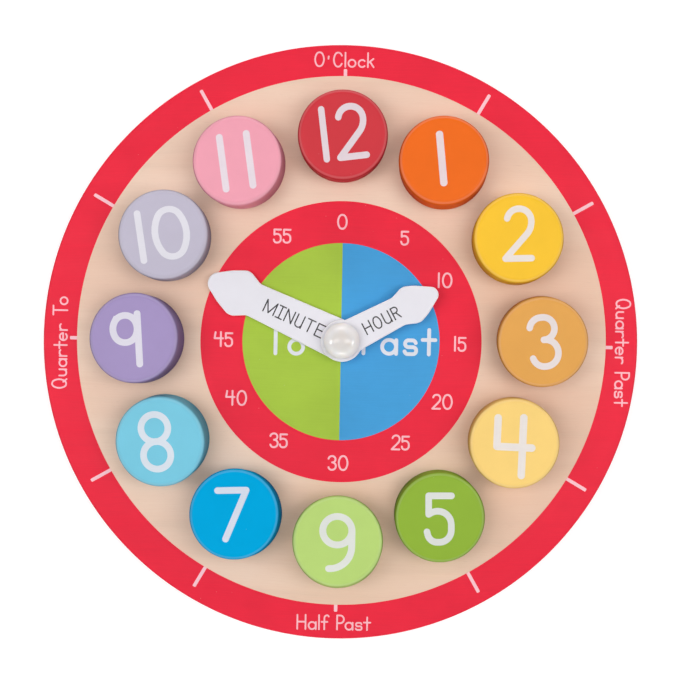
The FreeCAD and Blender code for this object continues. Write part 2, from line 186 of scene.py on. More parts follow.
def makeWoodGrain():
    # Grain runs along X. Bands are the broad colour stripes, streaks the narrow ones.
    tree, source, result = newGroup(
        "woodGrain", [("Vector", "Vector")], ["Bands", "Streaks", "Fibres", "Pores"])
    sway = calculate(tree, "MULTIPLY", grainNoise(tree, source["Vector"], "sway"),
                     grainLook["swayReach"])
    aside = addNode(tree, "CombineXYZ", {"Y": sway}).outputs[0]
    swayed = addNode(tree, "VectorMath", {0: source["Vector"], 1: aside},
                     operation="ADD").outputs[0]
    bands = grainNoise(tree, swayed, "bands")
    streaks = grainNoise(tree, swayed, "streaks")
    pores = grainNoise(tree, swayed, "pores", grainLook["poreShift"])
    tree.links.new(remap(tree, bands, *grainLook["bandSpan"], smooth=True), result["Bands"])
    tree.links.new(remap(tree, streaks, *grainLook["streakSpan"]), result["Streaks"])
    tree.links.new(grainNoise(tree, swayed, "fibres"), result["Fibres"])
    tree.links.new(remap(tree, pores, *grainLook["poreSpan"], smooth=True), result["Pores"])
    return tree


skinLook = {
    # how often it changes in a metre, its detail and roughness
    "tone": (60, 3.0, 0.6),
    "peel": (900, 2.0, 0.5),
    "pits": (3500, 1.0, 0.5),
    "gloss": (150, 2.0, 0.6),
    "pitDepth": 0.25,             # beside the peel's
    "span": (0.3, 0.7),           # the part of tone and gloss that finishes use
}


def makePaintSkin():
    # Tone is a soft mottling, Peel the fine waviness of a sprayed skin, Gloss its dull patches.
    tree, source, result = newGroup("paintSkin", [("Vector", "Vector")], ["Tone", "Peel", "Gloss"])
    tree.links.new(noise(tree, source["Vector"], *skinLook["tone"]), result["Tone"])
    peel = noise(tree, source["Vector"], *skinLook["peel"])
    pits = noise(tree, source["Vector"], *skinLook["pits"])
    pitted = calculate(tree, "ADD", peel, calculate(tree, "MULTIPLY", pits, skinLook["pitDepth"]))
    tree.links.new(pitted, result["Peel"])
    tree.links.new(noise(tree, source["Vector"], *skinLook["gloss"]), result["Gloss"])
    return tree


wearLook = {
    "samples": 6,
    "patches": (420, 3.0, 0.65),  # how often it changes in a metre, its detail and roughness
    "patchSpan": (0.45, 0.75),
    "edgeSpan": (0.985, 0.9),     # the cosine between surface and rounded edge, unworn and worn
}


def makeEdgeWear():
    # Worn is 1 on the edges, broken up along them.
    tree, source, result = newGroup(
        "edgeWear", [("Vector", "Vector"), ("Radius", "Float")], ["Worn"])
    rounded = addNode(tree, "Bevel", {"Radius": source["Radius"]},
                      samples=wearLook["samples"]).outputs[0]
    straight = addNode(tree, "NewGeometry").outputs["Normal"]
    cosine = addNode(tree, "VectorMath", {0: rounded, 1: straight},
                     operation="DOT_PRODUCT").outputs["Value"]
    patches = noise(tree, source["Vector"], *wearLook["patches"])
    bite = remap(tree, patches, *wearLook["patchSpan"])
    edge = remap(tree, cosine, *wearLook["edgeSpan"])
    tree.links.new(calculate(tree, "MULTIPLY", edge, bite, True), result["Worn"])
    return tree


dustLook = {
    "scale": 260,                 # cells in a metre, of which some hold a speck
    "clean": 0.8,                 # the share that holds none
    "speck": (0.05, 0.02),        # its edge and its full core, in cells
    "colour": screenColour(240, 238, 235),
}


def makeDust():
    # Specks are rare pale dots of lint.
    tree, source, result = newGroup("dust", [("Vector", "Vector")], ["Specks"])
    cells = addNode(tree, "TexVoronoi", {"Vector": source["Vector"], "Scale": dustLook["scale"]})
    near = remap(tree, cells.outputs["Distance"], *dustLook["speck"])
    chosen = addNode(tree, "SeparateColor", {"Color": cells.outputs["Color"]}).outputs[0]
    rare = calculate(tree, "GREATER_THAN", chosen, dustLook["clean"])
    tree.links.new(calculate(tree, "MULTIPLY", near, rare), result["Specks"])
    return tree


woodGrain = makeWoodGrain()
paintSkin = makePaintSkin()
edgeWear = makeEdgeWear()
dust = makeDust()


# Finishes. A share is how strongly a coat or pattern covers, patches is how far the roughness
# goes down and up, and relief is the depth of the bump and its strength.

boardWood = {
    "pale": screenColour(241, 212, 191),
    "warm": screenColour(233, 197, 174),
    "grey": screenColour(223, 193, 172),
    "pore": screenColour(176, 138, 116),
    "lint": (1, 1, 1, 1),
    "streakSpan": (0.45, 1.0),
    "streakShare": 0.36,
    "fibreSpan": (0.35, 0.75),
    "fibreShare": 0.12,
    "poreShare": 0.2,
    "lintShare": 0.3,
    "fibreHeight": 0.4,           # beside the depth of a pore
    "roughness": 0.55,
    "patches": (0.06, 0.08),
    "sheen": 0.25,
    "relief": (0.00006, 0.4),
}


def makeWood(name, look, turn=(0, 0, 0), shift=(0, 0, 0)):
    material, tree, shader, place = newMaterial(name)
    grain = useGroup(tree, woodGrain, {"Vector": stretched(tree, place, (1, 1, 1), shift, turn)})
    lint = useGroup(tree, dust, {"Vector": place})
    colour = mixColours(tree, grain["Bands"], look["pale"], look["warm"])
    streak = remap(tree, grain["Streaks"], *look["streakSpan"], 0.0, look["streakShare"])
    colour = mixColours(tree, streak, colour, look["grey"])
    fibre = remap(tree, grain["Fibres"], *look["fibreSpan"], 0.0, look["fibreShare"])
    colour = mixColours(tree, fibre, colour, look["warm"], "MULTIPLY")
    colour = cover(tree, colour, grain["Pores"], look["poreShare"], look["pore"])
    colour = cover(tree, colour, lint["Specks"], look["lintShare"], look["lint"])
    rough = patchy(tree, grain["Streaks"], (0.0, 1.0), look["roughness"], look["patches"])
    raised = calculate(tree, "MULTIPLY", grain["Fibres"], look["fibreHeight"])
    height = calculate(tree, "SUBTRACT", raised, grain["Pores"])
    feed(tree, shader, {"Base Color": colour, "Roughness": rough,
                        "Specular IOR Level": look["sheen"],
                        "Normal": bump(tree, height, *look["relief"])})
    return material


paintLook = {
    "tone": (0.97, 1.015),        # the darkest and lightest of the mottling
    "wearRadius": 0.0006,
    "wearShare": 0.18,
    "paintedRimLightSpan": (0.97, 0.7),       # heights of the normal over which the painted highlight on round edges comes in
    "lintShare": 0.2,
    "patches": (0.05, 0.07),
    "sheen": 0.09,
    "relief": (0.00004, 0.5),
}

paintedWallLook = {
    # heights of the normal over which each begins: the face is at 1, the wall at 0. The corner
    # spans place a painted highlight, the wall span painted shade
    "cornerSpan": (0.96, 0.86),
    "cornerEndSpan": (0.5, 0.68),
    "wallSpan": (0.75, 0.45),
    # the painted corner highlight: how far it goes to white, and how strongly it covers
    "cornerHighlightWhite": 0.2,
    "cornerHighlightShare": 0.3,
    # the painted wall shade: its tint, and a gamma that deepens it
    "tint": (0.52, 0.54, 0.56, 1),
    "gamma": 1.5,
    "topShare": 0.4,              # share of the painted shade just under the face, up to 1 at the foot
    "sideShare": 0.25,            # share of the painted shade where the wall faces along Y
    "sideSpan": (0.25, 0.7),      # how far the wall faces along X, from the least painted shade to the full one
    "roughness": 0.4,             # added to the face's
}


def addWalls(tree, place, colour, rough, foot, top):
    # A painted highlight on the rounded corner, then painted shade on the wall, which is also made
    # duller. The shade is deepest near its foot and where the wall faces along X.
    look = paintedWallLook
    # painted highlight: a lighter band on the rounded corner
    corner = calculate(tree, "MULTIPLY", tilted(tree, *look["cornerSpan"]),
                       tilted(tree, *look["cornerEndSpan"]))
    thin = mixColours(tree, look["cornerHighlightWhite"], colour, (1, 1, 1, 1))
    colour = cover(tree, colour, corner, look["cornerHighlightShare"], thin)
    # painted shade: the walls darker towards the foot and where they face along X
    wall = tilted(tree, *look["wallSpan"])
    height = addNode(tree, "SeparateXYZ", {0: place}).outputs["Z"]
    low = remap(tree, height, top, foot, look["topShare"], 1.0)
    shadeAlongX = remap(tree, facing(tree, "X"), *look["sideSpan"], look["sideShare"], 1.0)
    depth = calculate(tree, "MULTIPLY", calculate(tree, "MULTIPLY", wall, low), shadeAlongX)
    paintedShade = mixColours(tree, 1.0, colour, look["tint"], "MULTIPLY")
    paintedShade = addNode(tree, "Gamma", {"Color": paintedShade, "Gamma": look["gamma"]}).outputs[0]
    duller = calculate(tree, "MULTIPLY", wall, look["roughness"])
    return mixColours(tree, depth, colour, paintedShade), calculate(tree, "ADD", rough, duller)


def makePaint(name, tint, roughness=0.33, edge=None, walls=None, rim=None,
              sheen=paintLook["sheen"]):
    # An even opaque paint. edge is the colour that shows where corners are rubbed, rim the colour
    # of a painted highlight on round edges, and walls the height of their foot and top, between
    # which the corner gets a painted highlight and the walls painted shade.
    material, tree, shader, place = newMaterial(name)
    skin = useGroup(tree, paintSkin, {"Vector": place})
    lint = useGroup(tree, dust, {"Vector": place})
    colour = shaded(tree, tint, remap(tree, skin["Tone"], *skinLook["span"], *paintLook["tone"]))
    if edge:
        worn = useGroup(tree, edgeWear, {"Vector": place, "Radius": paintLook["wearRadius"]})
        colour = cover(tree, colour, worn["Worn"], paintLook["wearShare"], edge)
    rough = patchy(tree, skin["Gloss"], skinLook["span"], roughness, paintLook["patches"])
    # a painted highlight on the corner and painted shade on the walls
    if walls:
        colour, rough = addWalls(tree, place, colour, rough, *walls)
    # painted highlight: the colour turns lighter on steep round edges
    if rim:
        colour = mixColours(tree, tilted(tree, *paintLook["paintedRimLightSpan"]), colour, rim)
    colour = cover(tree, colour, lint["Specks"], paintLook["lintShare"], dustLook["colour"])
    feed(tree, shader, {"Base Color": colour, "Roughness": rough, "Specular IOR Level": sheen,
                        "Normal": bump(tree, skin["Peel"], *paintLook["relief"])})
    return material


inkLook = {
    "tone": (0.96, 1.02),
    "lintShare": 0.3,
    "patches": (0.05, 0.06),
    "sheen": 0.14,
    "relief": (0.00003, 0.4),
}


def makeInk(name, tint, roughness=0.5, grain=0.12):
    # Screen ink on wood: the fibres show through faintly.
    material, tree, shader, place = newMaterial(name)
    wood = useGroup(tree, woodGrain, {"Vector": place})
    skin = useGroup(tree, paintSkin, {"Vector": place})
    lint = useGroup(tree, dust, {"Vector": place})
    tone = remap(tree, skin["Tone"], *skinLook["span"], *inkLook["tone"])
    fibres = calculate(tree, "MULTIPLY", wood["Fibres"], grain)
    tone = calculate(tree, "SUBTRACT", tone, calculate(tree, "SUBTRACT", fibres, grain / 2))
    colour = shaded(tree, tint, tone)
    colour = cover(tree, colour, lint["Specks"], inkLook["lintShare"], dustLook["colour"])
    rough = patchy(tree, wood["Streaks"], (0.0, 1.0), roughness, inkLook["patches"])
    height = calculate(tree, "ADD", wood["Fibres"], skin["Peel"])
    feed(tree, shader, {"Base Color": colour, "Roughness": rough,
                        "Specular IOR Level": inkLook["sheen"],
                        "Normal": bump(tree, height, *inkLook["relief"])})
    return material


nylonLook = {
    "tone": (0.97, 1.02),
    "paintedRimLightSpan": (0.985, 0.72),     # heights of the normal over which the painted highlight on the steep sides comes in
    "patches": (0.04, 0.06),
    "sheen": 0.5,
    "bleed": (1.0, 0.85, 0.7),    # how far red, green and blue light spread inside
    "depth": 0.003,
    "relief": (0.00002, 0.4),
}


def makeNylon(name, tint, scatter, roughness, rim=None):
    # rim is the colour of a painted highlight, paler towards the dome's steep sides.
    material, tree, shader, place = newMaterial(name)
    skin = useGroup(tree, paintSkin, {"Vector": place})
    colour = shaded(tree, tint, remap(tree, skin["Tone"], *skinLook["span"], *nylonLook["tone"]))
    # painted highlight: the colour turns paler on the dome's steep sides
    if rim:
        colour = mixColours(tree, tilted(tree, *nylonLook["paintedRimLightSpan"]), colour, rim)
    rough = patchy(tree, skin["Gloss"], skinLook["span"], roughness, nylonLook["patches"])
    feed(tree, shader, {"Base Color": colour, "Roughness": rough,
                        "Specular IOR Level": nylonLook["sheen"],
                        "Subsurface Weight": scatter, "Subsurface Radius": nylonLook["bleed"],
                        "Subsurface Scale": nylonLook["depth"],
                        "Normal": bump(tree, skin["Peel"], *nylonLook["relief"])})
    return material


zincLook = {
    "plate": screenColour(198, 200, 204),
    "bloom": screenColour(188, 184, 170),
    "worn": screenColour(228, 229, 232),
    "bloomPattern": (500, 3.0, 0.6),
    "bloomSpan": (0.4, 0.7),
    "turning": {"Scale": 900, "Distortion": 0.6, "Detail": 1.0},
    "wearRadius": 0.0003,
    "wearShare": 0.5,
    "roughness": 0.35,
    "patches": (0.07, 0.07),
    "relief": (0.00001, 0.3),
}


def makeZinc(name):
    # Zinc plate with a faint yellowish bloom and turning marks.
    material, tree, shader, place = newMaterial(name)
    skin = useGroup(tree, paintSkin, {"Vector": place})
    bloom = noise(tree, place, *zincLook["bloomPattern"])
    rings = addNode(tree, "TexWave", {"Vector": place, **zincLook["turning"]},
                    wave_type="RINGS", rings_direction="Z").outputs["Fac"]
    colour = mixColours(tree, remap(tree, bloom, *zincLook["bloomSpan"]), zincLook["plate"],
                        zincLook["bloom"])
    worn = useGroup(tree, edgeWear, {"Vector": place, "Radius": zincLook["wearRadius"]})
    colour = cover(tree, colour, worn["Worn"], zincLook["wearShare"], zincLook["worn"])
    rough = patchy(tree, skin["Gloss"], skinLook["span"], zincLook["roughness"],
                   zincLook["patches"])
    feed(tree, shader, {"Base Color": colour, "Metallic": 1.0, "Roughness": rough,
                        "Normal": bump(tree, rings, *zincLook["relief"])})
    return material


blockColours = {
    1: screenColour(243, 109, 26),
    2: screenColour(252, 199, 50),
    3: screenColour(231, 167, 84),
    4: screenColour(253, 214, 125),
    5: screenColour(145, 181, 56),
    6: screenColour(187, 218, 121),
    7: screenColour(0, 167, 223),
    8: screenColour(121, 202, 226),
    9: screenColour(165, 147, 195),
    10: screenColour(194, 188, 206),
    11: screenColour(245, 164, 182),
    12: screenColour(210, 56, 65),
}
blockSheens = {7: 0.01}           # the others have the paint's own

fittings = {
    "rubbedEdge": screenColour(238, 214, 190),
    "hands": screenColour(233, 231, 238),
    "handRoughness": 0.38,
    # a painted highlight along the hands' round edges
    "handEdgeHighlight": screenColour(255, 252, 255),
    # tint, how much light goes inside, and roughness
    "washers": (screenColour(226, 224, 218), 0.15, 0.4),
    "cap": (screenColour(224, 218, 214), 0.35, 0.12),
    # a painted highlight on the cap's steep sides
    "capSideHighlight": screenColour(253, 250, 248),
    "pegTurn": (0, math.radians(90), 0),      # stands the grain up
    "pegShift": (0.3, 0.1, 0),                # to another stretch of it
}


def dressNode(name, material):
    node = nodes[name]
    if not node.material_slots:
        node.data.materials.append(material)
    for slot in node.material_slots:
        slot.material = material


def dressNodes():
    dressNode("clock_board", makeWood("beech board", boardWood))
    pegWood = makeWood("peg wood", boardWood, fittings["pegTurn"], fittings["pegShift"])
    for number in numbers:
        dressNode(f"block_peg_{number}", pegWood)
        block = f"number_block_{number}"
        # each block's foot and top, between which its walls get painted shade
        walls = [corner.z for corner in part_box(block)]
        sheen = blockSheens.get(number, paintLook["sheen"])
        dressNode(block, makePaint(f"block paint {number}", blockColours[number],
                                   edge=fittings["rubbedEdge"], walls=walls, sheen=sheen))
    handPaint = makePaint("hand paint", fittings["hands"], fittings["handRoughness"],
                          rim=fittings["handEdgeHighlight"])
    for name in ("minute_hand", "hour_hand"):
        dressNode(name, handPaint)
    washerNylon = makeNylon("washer nylon", *fittings["washers"])
    for name in ("lower_washer", "middle_washer", "upper_washer"):
        dressNode(name, washerNylon)
    dressNode("pivot_cap", makeNylon("cap nylon", *fittings["cap"], fittings["capSideHighlight"]))
    zinc = makeZinc("zinc plate")
    for name in ("pivot_screw", "rear_washer", "lock_nut"):
        dressNode(name, zinc)


dressNodes()
redInk = makeInk("red ink", screenColour(238, 36, 62))
greenInk = makeInk("green ink", screenColour(168, 199, 66))
blueInk = makeInk("blue ink", screenColour(68, 160, 220))

# Lettering is printed thicker than the rings, so less of the grain shows.
letterInk = {
    "roughness": 0.45,
    "grain": 0.05,
    "blockWhite": screenColour(233, 231, 238),
    "blockCover": 0.82,           # the rest is the paint that shows through
    "blockRoughness": 0.4,
    "blockGrain": 0.04,
}
thickPrint = (letterInk["roughness"], letterInk["grain"])
tickInk = makeInk("white ink on red", screenColour(255, 201, 210), *thickPrint)
ringLetterInk = makeInk("thin white ink on red", screenColour(255, 191, 201), *thickPrint)
middleLetterInk = makeInk("white ink on the halves", screenColour(226, 228, 236), *thickPrint)
handLetterInk = makeInk("grey ink", screenColour(62, 58, 62), grain=letterInk["grain"])
blockLetterInks = {}
for number, paint in blockColours.items():
    share = letterInk["blockCover"]
    thinned = [share * white + (1 - share) * under
               for white, under in zip(letterInk["blockWhite"], paint)]
    blockLetterInks[number] = makeInk(f"white ink on block {number}", thinned,
                                      letterInk["blockRoughness"], letterInk["blockGrain"])
print("finishes made")


# Pieces are drawn in millimetres, then put in place and finished in metres.

def toObject(bm, name):
    mesh = bpy.data.meshes.new(name)
    bm.to_mesh(mesh)
    bm.free()
    piece = bpy.data.objects.new(name, mesh)
    scene.collection.objects.link(piece)
    return piece


def finishPiece(piece, place, material, body):
    piece.data.transform(Matrix.Scale(metre, 4) @ place)
    piece.data.materials.clear()
    piece.data.materials.append(material)
    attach(piece, body)


def vertsOf(items):
    return [item for item in items if isinstance(item, bmesh.types.BMVert)]


def thicken(bm, thickness):
    # Gives a flat drawing its thickness, upwards.
    grown = bmesh.ops.extrude_face_region(bm, geom=bm.faces[:])["geom"]
    bmesh.ops.translate(bm, verts=vertsOf(grown), vec=upAxis * thickness)
    bmesh.ops.recalc_face_normals(bm, faces=bm.faces[:])


# The pen: strokes of even width with round ends, as a lettering stencil gives

pen = {
    "step": 9,            # of arc for each straight piece
    "dotSides": 20,
    "shortest": 0.001,    # a straight shorter than this is left out
    "join": 0.01,         # ends nearer than this become one
    "speck": 0.001,       # see weldStrokes
    "sink": 0.02,         # how deep ink lies in what carries it
    "ink": 0.05,          # how far ink stands out
    "capHeight": 24,      # of the shapes below
    "letterGap": 5.3,     # between the shapes below
}


def heading(vector):
    return math.atan2(vector.y, vector.x)


def turnBetween(first, second):
    turn = heading(second) - heading(first)
    return (turn + math.pi) % (2 * math.pi) - math.pi


def drawDot(bm, spot, width):
    bmesh.ops.create_circle(bm, cap_ends=True, segments=pen["dotSides"], radius=width / 2,
                            matrix=Matrix.Translation(spot))


def startBand(bm, spot, along, width):
    side = Vector((-along.y, along.x, 0)) * width / 2
    ends = [bm.verts.new(spot - side), bm.verts.new(spot + side)]
    return ends + [bm.edges.new(ends)]


def pushBand(bm, band, shift):
    edges = [item for item in band if isinstance(item, bmesh.types.BMEdge)]
    grown = bmesh.ops.extrude_edge_only(bm, edges=edges)["geom"]
    bmesh.ops.translate(bm, verts=vertsOf(grown), vec=shift)
    return [item for item in grown if not isinstance(item, bmesh.types.BMFace)]


def swingBand(bm, band, centre, turn):
    steps = max(2, round(abs(math.degrees(turn)) / pen["step"]))
    grown = bmesh.ops.spin(bm, geom=band, cent=centre, axis=upAxis, angle=turn, steps=steps)
    return [item for item in grown["geom_last"] if not isinstance(item, bmesh.types.BMFace)]


def drawStroke(bm, corners, width, closed=False):
    # Each corner is (x, y), or (x, y, radius) where the stroke turns through an arc.
    spots = [(Vector((x, y, 0)), radius[0] if radius else 0) for x, y, *radius in corners]
    if closed:
        start = ((spots[0][0] + spots[1][0]) / 2, 0)
        spots = [start] + spots[1:] + [spots[0], start]
    band, used = None, 0
    for index in range(len(spots) - 1):
        here, (there, radius) = spots[index][0], spots[index + 1]
        side = there - here
        along = side.normalized()
        if not band:
            band, used = startBand(bm, here, along, width), 0
            first = vertsOf(band)
            if not closed:
                drawDot(bm, here, width)
        turn = turnBetween(side, spots[index + 2][0] - there) if radius else 0
        tangent = radius * math.tan(abs(turn) / 2)
        straight = side.length - used - tangent
        if straight > pen["shortest"]:
            band = pushBand(bm, band, along * straight)
        if turn:
            inward = Vector((-along.y, along.x, 0)) * math.copysign(radius, turn)
            band = swingBand(bm, band, there - along * tangent + inward, turn)
        elif closed:
            bmesh.ops.remove_doubles(bm, verts=first + vertsOf(band), dist=pen["join"])
        else:
            drawDot(bm, there, width)
            band = None
        used = tangent


ovalShape = {
    # where the corner over its end lies: shares of its half height and of its half width
    "tallShare": 0.634,
    "halfShare": 1.366,
    "sideTurn": 30,       # half of what the stroke turns at each side
}


def oval(x, y, half, tall):
    # The four corners whose arcs make an oval: it turns 120 degrees at each end, 60 at each side.
    sideTurn = math.radians(ovalShape["sideTurn"])
    top = ovalShape["tallShare"] * tall + ovalShape["halfShare"] * half
    flank = top * math.tan(sideTurn)
    endRadius = top - tall
    sideRadius = (flank - half) / (1 / math.cos(sideTurn) - 1)
    return [(x, y + top, endRadius), (x - flank, y, sideRadius),
            (x, y - top, endRadius), (x + flank, y, sideRadius)]


def ring(x, y, radius):
    return [(x + radius, y + radius, radius), (x - radius, y + radius, radius),
            (x - radius, y - radius, radius), (x + radius, y - radius, radius)]


# Each shape: its width, its open strokes and its closed strokes, 24 high from the base line
letterShapes = {
    " ": (6, [], []),
    "0": (15, [], [oval(7.5, 12, 7.5, 12)]),
    "1": (0, [[(0, 0), (0, 24)]], []),
    "2": (13.4, [[(1.2, 19.4), (2.4, 24, 6.1), (13.4, 24, 6.1), (13.4, 14.2, 9), (0, 0)],
                 [(0, 0), (13.2, 0)]], []),
    "3": (12.7, [[(0, 19.2), (1.3, 23.6, 5.8), (12, 23.6, 5.4), (12, 12.8, 5.3), (6.3, 12.8)],
                 [(6.3, 12.8), (12.7, 12.8, 6.2), (12.7, 0, 6.4), (1.4, 0, 5.8), (0.1, 4.4)]], []),
    "4": (14.4, [[(1.6, 23.6), (0, 13.4), (14.4, 13.4)], [(10.8, 24), (10.8, 0)]], []),
    "tall 4": (16.5, [[(0, 26.3), (0, 13), (16.5, 13)], [(12.1, 26.9), (12.1, 0)]], []),
    "5": (12.1, [[(12, 22.3), (0.8, 22.3), (0.8, 13.4)],
                 [(0.8, 13.4), (3.4, 14.9, 6), (11.9, 14.9, 6.5), (11.9, 0, 5.8),
                  (1.2, 0, 4.8), (0, 5)]], []),
    "6": (13.5, [[(0.1, 6.7), (0.1, 24.5, 10), (10.4, 24.5)]], [ring(6.8, 6.7, 6.7)]),
    "7": (14.1, [[(0, 23.4), (14.1, 23.4), (3.9, 0)]], []),
    "8": (13.2, [], [ring(6.6, 6.6, 6.6), ring(6.5, 19.6, 6.5)]),
    "9": (11.7, [[(11.7, 24.5), (11.7, 0)]], [oval(5.7, 17.4, 5.7, 6.6)]),
    "'": (6.3, [[(2.9, 17.2), (2.5, 13.2)]], []),
    "C": (14.5, [[(13.8, 18.9), *oval(7.5, 12, 7.4, 12)[:3], (13.8, 5.1)]], []),
    "E": (14, [[(14, 24), (0, 24), (0, 0), (14, 0)], [(0, 12.5), (11, 12.5)]], []),
    "H": (14, [[(0, 24), (0, 0)], [(14, 24), (14, 0)], [(0, 12.3), (14, 12.3)]], []),
    "I": (12.6, [[(0, 24), (12.6, 24)], [(6.3, 24), (6.3, 0)], [(0, 0), (12.6, 0)]], []),
    "M": (21, [[(0, 0), (0, 24), (10.5, 1), (21, 24), (21, 0)]], []),
    "N": (14.5, [[(0, 0), (0, 24), (14.5, 0), (14.5, 24)]], []),
    "O": (15, [], [oval(7.5, 12, 7.5, 12)]),
    "P": (11.5, [[(0, 0), (0, 24)], [(0, 24), (11.5, 24, 6.4), (11.5, 10.9, 6.4), (0, 10.9)]], []),
    "Q": (16, [[(10.8, 5), (15.4, -0.6)]], [oval(7.5, 12, 7.4, 12)]),
    "R": (12.5, [[(0, 0), (0, 24)], [(0, 24), (12, 24, 5.7), (12, 12.4, 5.7), (0, 12.4)],
                 [(6.5, 12.4), (12.8, 0)]], []),
    "T": (15.5, [[(0, 24), (15.5, 24)], [(7.8, 24), (7.8, 0)]], []),
    "U": (13.3, [[(0, 24), (0, 0, 6.5), (13.3, 0, 6.5), (13.3, 24)], [(13.3, 12), (13.3, 0)]], []),
    "a": (12.4, [[(12.4, 12), (12.4, 0)]], [ring(6.1, 6.1, 6.1)]),
    "c": (10.6, [[(10.3, 10.3), (8.5, 12.1, 6), (0, 12.1, 6), (0, 0, 6), (8.5, 0, 6),
                  (10.3, 1.8)]], []),
    "e": (12.1, [[(0.2, 6.6), (12.1, 6.6)],
                 [(12.1, 6.6), (12.1, 12.1, 5.4), (0, 12.1, 6), (0, 0, 6), (8.6, 0, 6),
                  (10.6, 2)]], []),
    "f": (9.9, [[(4.6, 0), (4.6, 24, 5), (10.6, 24, 3), (12, 21.9)],
                [(0, 12.7), (9.9, 12.7)]], []),
    "k": (9.6, [[(0, 0), (0, 24)], [(9.2, 14.2), (0, 6.8)], [(3.4, 9.5), (9.9, 0)]], []),
    "l": (0, [[(0, 0), (0, 24)]], []),
    "o": (12.1, [], [ring(6.1, 6.1, 6.1)]),
    "r": (9.5, [[(0, 0), (0, 12)], [(0, 6.4), (0, 12.2, 5.4), (8.2, 12.2, 2.5), (10, 10.8)]], []),
    "s": (10.2, [[(9.7, 9.8), (8.6, 12.1, 2.5), (0.4, 12.1, 3), (0.4, 6.1, 2.9), (10.2, 6.1, 2.9),
                  (10.2, 0, 3), (1.2, 0, 2.5), (0, 2.3)]], []),
    "t": (11.2, [[(5.6, 21.5), (5.6, 0)], [(0, 12.7), (11.2, 12.7)]], []),
    "u": (10.6, [[(0, 12), (0, 0, 5.2), (10.6, 0, 5.2), (10.6, 12)], [(10.6, 6), (10.6, 0)]], []),
}

# How much further apart, or closer, these pairs stand
pairShifts = {
    "10": 2, "11": 7.6, "12": 1.8, "15": 1, "25": -1, "35": -1.2, "45": -1, "55": -0.6,
    "To": -3, "Pa": -2.5, "rt": -1.8, "te": -2.6, "st": -1.8, "lf": -0.8, "MI": -2, "IN": -2,
}


def drawText(text, capHeight, width, gap=pen["letterGap"], capitals=1):
    # A flat drawing that starts at the origin and stands on the base line, and its length.
    # capitals is how much taller the capitals are drawn.
    scale = capHeight / pen["capHeight"]
    bm = bmesh.new()
    reach = 0
    for index, letter in enumerate(text):
        wide, strokes, loops = letterShapes[letter]
        if index:
            reach += gap + pairShifts.get(text[index - 1:index + 1], 0)
        for corners, closed in [(c, False) for c in strokes] + [(c, True) for c in loops]:
            tall = scale * capitals if letter.isupper() else scale
            scaled = [(scale * (x + reach), tall * y, *(scale * r for r in radius))
                      for x, y, *radius in corners]
            drawStroke(bm, scaled, width, closed)
        reach += wide
    return bm, reach * scale


def weldStrokes(piece):
    # Joins strokes that cross into one clean solid. The modifier needs a second solid, and gets
    # a speck on a corner of the first.
    bm = bmesh.new()
    corner = piece.data.vertices[0].co
    bmesh.ops.create_cube(bm, size=pen["speck"], matrix=Matrix.Translation(corner))
    helper = toObject(bm, "weldHelper")
    join = piece.modifiers.new("weld", "BOOLEAN")
    join.operation = "UNION"
    join.solver = "EXACT"
    join.use_self = True
    join.object = helper
    graph = bpy.context.evaluated_depsgraph_get()
    welded = bpy.data.meshes.new_from_object(piece.evaluated_get(graph))
    piece.modifiers.clear()
    piece.data = welded
    bpy.data.objects.remove(helper)


def centred(bm):
    low = [min(vert.co[axis] for vert in bm.verts) for axis in range(2)]
    high = [max(vert.co[axis] for vert in bm.verts) for axis in range(2)]
    middle = Vector(((low[0] + high[0]) / 2, (low[1] + high[1]) / 2, 0))
    bmesh.ops.translate(bm, verts=bm.verts, vec=-middle)


def inkPiece(bm, name, place, material, body):
    thicken(bm, pen["sink"] + pen["ink"])
    piece = toObject(bm, name)
    weldStrokes(piece)
    sunk = place @ Matrix.Translation((0, 0, -pen["sink"]))
    finishPiece(piece, sunk, material, body)


def spot(x, y, z, turn=0):
    return Matrix.Translation((x, y, z)) @ Matrix.Rotation(math.radians(turn), 4, "Z")


# The printed dial

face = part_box("lower_washer")[0].z / metre
pivot = sum(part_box("pivot_screw"), Vector()) / 2 / metre
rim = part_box("clock_board")[1].x / metre
dial = {
    "rimCentre": (0.45, 0.68),      # the two prints lie a little off the board's middle
    "middleCentre": (0.28, 0.05),
    "outerRing": 129.0,       # inner edge of the ring on the rim
    "rimRound": 1.25,
    "rimRoundSegments": 6,
    "rimMargin": 0.3,         # flat film between its last loop and the rounding
    "rimFoot": 1.35,          # the paint on the side ends here
    "smooth": 30,             # a sharper bend than this looks like an edge
    "minuteRing": (48.1, 68.6),
    "hole": 8.4,              # bare wood around the pivot
    "film": 0.05,
    "sink": 0.02,
    "sides": 288,
}


def onDial(centre, turn=0, lift=0.0):
    return spot(*dial[centre], face + lift, turn)


def filmPiece(bm, name, material):
    # A flat film drawn at height 0 on the dial
    thicken(bm, dial["sink"] + dial["film"])
    place = onDial("middleCentre", lift=-dial["sink"])
    finishPiece(toObject(bm, name), place, material, "clock")


def drawRing(inner, outer, turn=360.0):
    bm = bmesh.new()
    ends = [bm.verts.new((0, -inner, 0)), bm.verts.new((0, -outer, 0))]
    edge = bm.edges.new(ends)
    steps = round(dial["sides"] * abs(turn) / 360)
    bmesh.ops.spin(bm, geom=ends + [edge], cent=(0, 0, 0), axis=upAxis,
                   angle=math.radians(turn), steps=steps, use_merge=abs(turn) == 360)
    return bm


